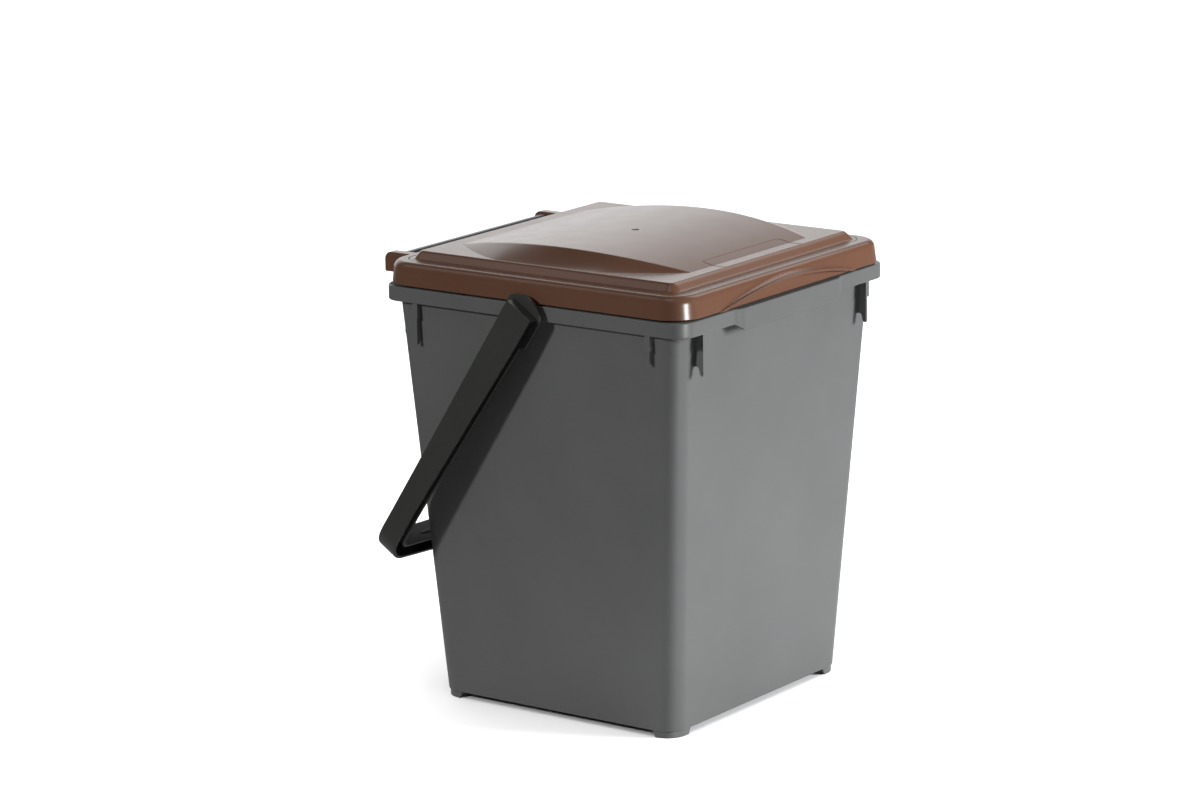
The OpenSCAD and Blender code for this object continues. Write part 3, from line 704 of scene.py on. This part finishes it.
def insert_line():
    """Hairline left by the mould's insert at the dome's front end."""
    left, right = INSERT_SIDES
    back, front = INSERT_ENDS
    radius, steps = INSERT_CORNER, INSERT_STEPS
    path = [(left, front)]
    path += [(left, front + (back - radius - front) * k / steps) for k in range(1, steps)]
    path += [(left + radius * (1 - c), back - radius * (1 - q)) for q, c in quarter_turn(4)]
    path += [(left + (right - left) * k / steps, back) for k in range(1, steps)]
    path += [(right - radius * (1 - q), back - radius * (1 - c)) for q, c in quarter_turn(4)]
    path += [(right, back - radius + (front - back + radius) * k / steps)
             for k in range(1, steps + 1)]
    # Section: a low ridge, whose two lower edges lie under the lid's surface
    section = ((-0.30, -0.2), (-0.16, 0.14), (0.16, 0.14), (0.30, -0.2))
    points = []
    for k, (x, y) in enumerate(path):
        before, after = path[max(0, k - 1)], path[min(len(path) - 1, k + 1)]
        along = Vector((after[0] - before[0], after[1] - before[1])).normalized()
        for side, lift in section:
            px, py = x - along.y * side, y + along.x * side
            points.append((px, py, lid_top(px, py) + lift))
    count = len(path)
    faces = loft_faces(count, len(section)) + end_faces(count, len(section))
    mesh_piece("insert_line", points, faces, "lid", smooth_angle=20.0)


def skirt_depth(height):
    """How far the skirt's face lies behind its lower edge, at a height above that edge."""
    straight = SKIRT_HEIGHT - SHOULDER
    if height < straight:
        return SKIRT_DRAFT * height / straight
    sine = min(0.98, (height - straight) / SHOULDER)
    return SKIRT_DRAFT + SHOULDER * (1 - math.sqrt(1 - sine * sine))


def pull_lip():
    """Thin arched ledge on the skirt's front: hollow upper side, fine bead along its edge."""
    front = -RIM_HALF[1]
    root = front + LIP_ROOT
    fall = math.tan(LIP_ANGLE)
    sections = []
    for k in range(-LIP_STEPS, LIP_STEPS + 1):
        x = LIP_WIDTH / 2 * math.sin(math.pi / 2 * k / LIP_STEPS)
        rise = 1 - (2 * x / (LIP_WIDTH + LIP_RUN_ON)) ** 2
        out = LIP_OUT * rise ** 0.6
        arch = LIP_ARCH * rise
        top = LID_BOTTOM + arch
        tip = max(LID_BOTTOM + LIP_TIP, top - fall * out)
        low = max(LID_BOTTOM, tip - LIP_EDGE)
        deep = skirt_depth(arch)
        # The bead shrinks with the ledge towards both ends
        bead = min(LIP_BEAD, 0.3 * out, 0.45 * (tip - low) + 0.01)
        middle = front - out + bead
        edge = middle + 1.3 * bead
        high, valley = top + fall * deep, tip + 0.55 * bead
        section = [(x, root, low), (x, root, top - 0.5)]
        section += [(x, edge + (front + deep - edge) * q,
                     valley + (high - valley) * q ** LIP_HOLLOW)
                    for q in (1.0, 0.9, 0.8, 0.65, 0.5, 0.35, 0.2, 0.0)]
        section += [(x, middle + bead * math.cos(a), tip + bead * (math.sin(a) - 0.05))
                    for a in (math.radians(40 + 20 * step) for step in range(8))]
        section += [(x, front - out, low + 0.5 * bead), (x, front - out + 0.5 * bead, low)]
        sections.append(section)
    count = len(sections[0])
    faces = loft_faces(len(sections), count) + end_faces(len(sections), count)
    mesh_piece("lid_pull_ledge", joined(sections), faces, "lid", ("lid_pull_lip",),
               smooth_angle=40.0)


# ---------------------------------------------------------------- handle
def hung(points):
    """Turns the straight-hanging bail about its pivot to its resting angle."""
    points = np.asarray(points, float)
    turned = points.copy()
    cosine, sine = math.cos(HANG_ANGLE), math.sin(HANG_ANGLE)
    turned[:, 1] = PIVOT[0] + cosine * points[:, 1] - sine * points[:, 2]
    turned[:, 2] = PIVOT[1] + sine * points[:, 1] + cosine * points[:, 2]
    return turned


def bail_path(x, reach, bow, radius):
    """One outline of the bail in X and Z, from the left arm's top to the right arm's top."""
    def low(u):
        return -reach - bow * (1 - (u / ARM_IN) ** 2)

    flat = x - radius
    z = low(flat)
    left = [(-x, ARM_OVER), (-x, ARM_OVER - HANDLE_WALL)]
    left += [(-x, -GRIP_REACH * k / ARM_STEPS * ARM_STRAIGHT) for k in range(ARM_STEPS + 1)]
    turns = [math.pi / 2 * k / BAIL_CORNER_STEPS for k in range(BAIL_CORNER_STEPS)]
    left += [(-(flat + radius * math.cos(a)), z + radius - radius * math.sin(a)) for a in turns]
    across = [flat * (2 * k / BOW_STEPS - 1) for k in range(BOW_STEPS + 1)]
    return left + [(u, low(u)) for u in across] + [(-u, w) for u, w in reversed(left)]


def tapered(z, arm, grip):
    """Half depth of the bail at z: arm at the top, grip from the taper's end on."""
    share = min(1.0, max(0.0, (-z - arm) / (TAPER_LENGTH - arm)))
    return arm + (grip - arm) * share


def bail_front(z):
    return tapered(z, ARM_FRONT, GRIP_FRONT)


def bail_back(z):
    return tapered(z, ARM_BACK, GRIP_BACK)


def bail():
    """Channel section swept around the bail: outer wall, back web, inner wall, open in front."""
    t = HANDLE_WALL
    outer = bail_path(ARM_X, GRIP_REACH + GRIP_DEPTH, BOW_OUTER, BAIL_CORNER)
    outer_in = bail_path(ARM_X - t, GRIP_REACH + GRIP_DEPTH - t, BOW_OUTER, BAIL_CORNER - t)
    inner_in = bail_path(ARM_IN + t, GRIP_REACH + t, BOW_INNER, BAIL_INNER_CORNER + t)
    inner = bail_path(ARM_IN, GRIP_REACH, BOW_INNER, BAIL_INNER_CORNER)
    points = []
    for a, d, c, b in zip(outer, outer_in, inner_in, inner):
        tuck = HEAD_TUCK if b[1] > -HEAD_LENGTH + 1 else 0.0
        side = math.copysign(tuck, b[0])
        b = (b[0] + side, b[1])
        c = (c[0] - side, c[1])
        points += [(a[0], -bail_front(a[1]), a[1]), (a[0], bail_back(a[1]), a[1]),
                   (b[0], bail_back(b[1]), b[1]), (b[0], -bail_front(b[1]), b[1]),
                   (c[0], -bail_front(c[1]), c[1]), (c[0], bail_back(c[1]) - t, c[1]),
                   (d[0], bail_back(d[1]) - t, d[1]), (d[0], -bail_front(d[1]), d[1])]
    # Sides of the eight-point section; at both ends of the bail its hollow is filled
    channel = [(i, (i + 1) % 8) for i in range(8)]
    filled = channel[:4] + [(4, 7), (7, 0)]
    count = len(outer)
    faces = []
    for k in range(count - 1):
        a, b = 8 * k, 8 * (k + 1)
        sides = filled if k in (0, count - 2) else channel
        faces += [(a + i, a + j, b + j, b + i) for i, j in sides]
    last = 8 * (count - 1)
    faces.append((0, 1, 2, 3, 4, 7))
    faces.append((last + 7, last + 4, last + 3, last + 2, last + 1, last))
    faces.append((8 + 4, 8 + 5, 8 + 6, 8 + 7))
    faces.append((last - 8 + 7, last - 8 + 6, last - 8 + 5, last - 8 + 4))
    mesh_piece("handle_bail", hung(points), faces, "handle",
               ("handle_arm_left", "handle_arm_right", "handle_grip"), bevel=HANDLE_ROUND)


# ---------------------------------------------------------------- stage
def direction(azimuth, elevation):
    a, e = math.radians(azimuth), math.radians(elevation)
    return Vector((math.cos(a) * math.cos(e), math.sin(a) * math.cos(e), math.sin(e)))


def area_light(name, azimuth, elevation, distance, width, height, power, colour, diffuse, glossy):
    """Soft box that looks at the middle of the object."""
    data = bpy.data.lights.new(name, "AREA")
    data.shape = "RECTANGLE"
    data.size = width
    data.size_y = height
    data.energy = power
    data.color = colour
    lamp = bpy.data.objects.new(name, data)
    towards = direction(azimuth, elevation)
    lamp.location = Vector((0, 0, AIM_HEIGHT)) + towards * distance
    lamp.visible_diffuse = diffuse
    lamp.visible_glossy = glossy
    lamp.rotation_euler = towards.to_track_quat("Z", "Y").to_euler()
    bpy.context.scene.collection.objects.link(lamp)


def camera():
    """Camera at the photograph's place."""
    a, e, roll = (math.radians(v) for v in CAMERA_TURN)
    back = Vector((math.sin(a) * math.cos(e), -math.cos(a) * math.cos(e), math.sin(e)))
    right = Vector((math.cos(a), math.sin(a), 0))
    upward = back.cross(right)
    x = right * math.cos(roll) + upward * math.sin(roll)
    y = -right * math.sin(roll) + upward * math.cos(roll)
    data = bpy.data.cameras.new("camera")
    data.lens = CAMERA_LENS
    data.sensor_width = CAMERA_SENSOR
    data.clip_end = CAMERA_FAR
    obj = bpy.data.objects.new("camera", data)
    obj.matrix_world = Matrix((x, y, back)).transposed().to_4x4()
    obj.location = (CAMERA_PLACE[0], CAMERA_PLACE[1] + MIDDLE_Y, CAMERA_PLACE[2])
    bpy.context.scene.collection.objects.link(obj)
    bpy.context.scene.camera = obj


def room():
    """White to the camera; for the object, bright on the side behind it and dark elsewhere."""
    world = bpy.data.worlds.new("studio")
    world.use_nodes = True
    tree = world.node_tree
    tree.nodes.clear()
    output = tree.nodes.new("ShaderNodeOutputWorld")
    seen = tree.nodes.new("ShaderNodeBackground")
    seen.inputs["Strength"].default_value = 1.0
    lit = tree.nodes.new("ShaderNodeBackground")
    path = tree.nodes.new("ShaderNodeLightPath")
    mix = tree.nodes.new("ShaderNodeMixShader")
    tree.links.new(path.outputs["Is Camera Ray"], mix.inputs[0])
    tree.links.new(lit.outputs[0], mix.inputs[1])
    tree.links.new(seen.outputs[0], mix.inputs[2])
    tree.links.new(mix.outputs[0], output.inputs[0])
    place = tree.nodes.new("ShaderNodeTexCoord").outputs["Generated"]
    dot = tree.nodes.new("ShaderNodeVectorMath")
    dot.operation = "DOT_PRODUCT"
    dot.inputs[1].default_value = direction(*GLOW_TURN)
    tree.links.new(place, dot.inputs[0])
    glow = remap(tree, dot.outputs["Value"], *GLOW_RANGE)
    tree.links.new(glow, lit.inputs["Strength"])
    bpy.context.scene.world = world


def pale_floor():
    """Pale floor. It is near white to the camera, and only its patches throw light back up."""
    material, tree, shader = new_material("floor_card")
    shader.inputs["Roughness"].default_value = 0.9
    shader.inputs["Specular IOR Level"].default_value = 0.1
    place = tree.nodes.new("ShaderNodeTexCoord").outputs["Object"]
    colour = mix_colour(tree, noise(tree, place, 3.0, 2.0), *FLOOR_TONES)
    patches = tree.nodes.new("ShaderNodeMath")
    patches.operation = "MAXIMUM"
    for socket, (centre, *tones) in zip(patches.inputs, FLOOR_PATCHES):
        away = tree.nodes.new("ShaderNodeVectorMath")
        away.operation = "DISTANCE"
        away.inputs[1].default_value = centre
        tree.links.new(place, away.inputs[0])
        tree.links.new(remap(tree, away.outputs["Value"], *tones), socket)
    path = tree.nodes.new("ShaderNodeLightPath").outputs["Is Camera Ray"]
    seen = mix_colour(tree, path, patches.outputs[0], colour)
    tree.links.new(seen, shader.inputs["Base Color"])
    mesh = bpy.data.meshes.new("floor")
    size = FLOOR_HALF
    corners = [(-size, -size, 0), (size, -size, 0), (size, size, 0), (-size, size, 0)]
    mesh.from_pydata(corners, [], [(0, 1, 2, 3)])
    mesh.materials.append(material)
    floor = bpy.data.objects.new("floor", mesh)
    bpy.context.scene.collection.objects.link(floor)
    return floor


def floor_wash(floor):
    """Overhead wash that lights the floor alone."""
    data = bpy.data.lights.new("floor_wash", "SUN")
    data.energy = WASH_STRENGTH
    data.angle = math.radians(WASH_ANGLE)
    wash = bpy.data.objects.new("floor_wash", data)
    bpy.context.scene.collection.objects.link(wash)
    receivers = bpy.data.collections.new("floor_only")
    receivers.objects.link(floor)
    wash.light_linking.receiver_collection = receivers


def studio():
    view = bpy.context.scene.view_settings
    view.view_transform = "Standard"
    view.look = "None"
    room()
    floor_wash(pale_floor())
    for light in LIGHTS:
        area_light(*light)


bucket_shell()
lid_shell()
insert_line()
box_piece("rail_rib", *RAIL_RIB, "bucket", RAIL_RIB_ROUND)
pull_lip()
bail()
for node, name, body, width in SMALL_PIECES:
    softened(node, name, body, width)
studio()
camera()
